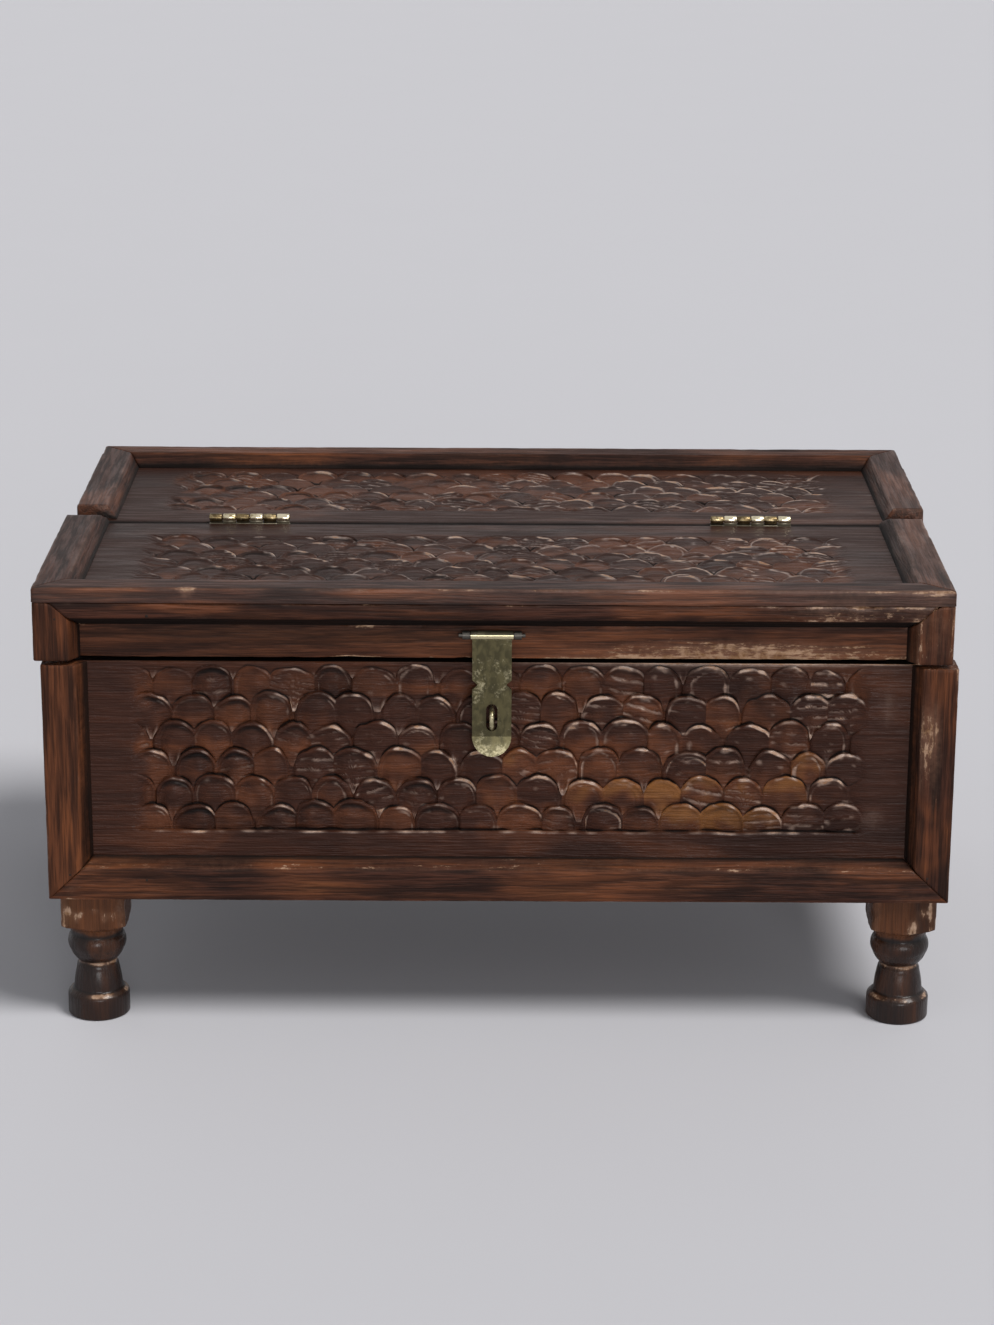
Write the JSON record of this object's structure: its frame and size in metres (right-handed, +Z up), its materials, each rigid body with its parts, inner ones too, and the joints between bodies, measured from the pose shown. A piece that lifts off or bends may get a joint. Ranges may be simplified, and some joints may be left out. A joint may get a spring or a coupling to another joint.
{
  "type": "carved wooden box",
  "caption": "Low dark-stained wooden chest with fish-scale carving, framed panels, a half lid on brass hinges, a hasp and staple, and turned feet.",
  "frame": {"origin": "centre of the overall footprint, on the surface that the feet stand on", "axes": "+X to the right seen from the front, +Y to the back, +Z up"},
  "size_m": [0.4028, 0.2632, 0.205],
  "materials": {
    "carved_wood": "dark stain, carved, satin wax with worn lips",
    "strip_wood": "dark red-brown stain, satin, worn edges",
    "board_wood": "dark stain outside, plainer inside",
    "foot_wood": "turned, dark stain rubbed through on the rims",
    "hinge_brass": "bright rubbed brass",
    "hasp_brass": "aged olive brass",
    "wire_steel": "dull drawn wire",
    "nail_iron": "dark iron"
  },
  "bodies": {
    "body": {"back_board": "board_wood", "body_hinge_screws": "hinge_brass", "body_strip_nails": "nail_iron", "bottom_board": "board_wood", "front_board": "carved_wood", "front_bottom_strip": "strip_wood", "front_left_foot": "foot_wood", "front_left_strip": "strip_wood", "front_right_foot": "foot_wood", "front_right_strip": "strip_wood", "left_hinge_body_leaf": "hinge_brass", "left_hinge_pin": "hinge_brass", "left_side_board": "board_wood", "left_side_bottom_strip": "strip_wood", "left_side_front_strip": "strip_wood", "left_side_rear_strip": "strip_wood", "left_side_upper_strip": "strip_wood", "lock_staple": "hasp_brass", "rear_left_foot": "foot_wood", "rear_right_foot": "foot_wood", "rear_top_back_strip": "strip_wood", "rear_top_board": "carved_wood", "rear_top_left_strip": "strip_wood", "rear_top_right_strip": "strip_wood", "right_hinge_body_leaf": "hinge_brass", "right_hinge_pin": "hinge_brass", "right_side_board": "board_wood", "right_side_bottom_strip": "strip_wood", "right_side_front_strip": "strip_wood", "right_side_rear_strip": "strip_wood", "right_side_upper_strip": "strip_wood"},
    "lid": {"hasp_eyes": "wire_steel", "hasp_pin": "wire_steel", "left_hinge_lid_leaf": "hinge_brass", "lid_front_board": "board_wood", "lid_front_left_strip": "strip_wood", "lid_front_right_strip": "strip_wood", "lid_front_upper_strip": "strip_wood", "lid_hinge_screws": "hinge_brass", "lid_left_board": "board_wood", "lid_left_front_strip": "strip_wood", "lid_left_upper_strip": "strip_wood", "lid_right_board": "board_wood", "lid_right_front_strip": "strip_wood", "lid_right_upper_strip": "strip_wood", "lid_strip_nails": "nail_iron", "lid_top_board": "carved_wood", "lid_top_front_strip": "strip_wood", "lid_top_left_strip": "strip_wood", "lid_top_right_strip": "strip_wood", "right_hinge_lid_leaf": "hinge_brass"},
    "hasp": {"hasp_strap": "hasp_brass"}
  },
  "joints": [
    {"name": "lid_hinge", "type": "hinge", "parent": "body", "child": "lid", "pos_m": [0.0014, 0.0082, 0.2003], "axis": [-1, 0, 0], "range_deg": [0, 105]},
    {"name": "hasp_swing", "type": "hinge", "parent": "lid", "child": "hasp", "pos_m": [-0.002, -0.1242, 0.183], "axis": [-1, 0, 0], "range_deg": [0, 140]}
  ]
}
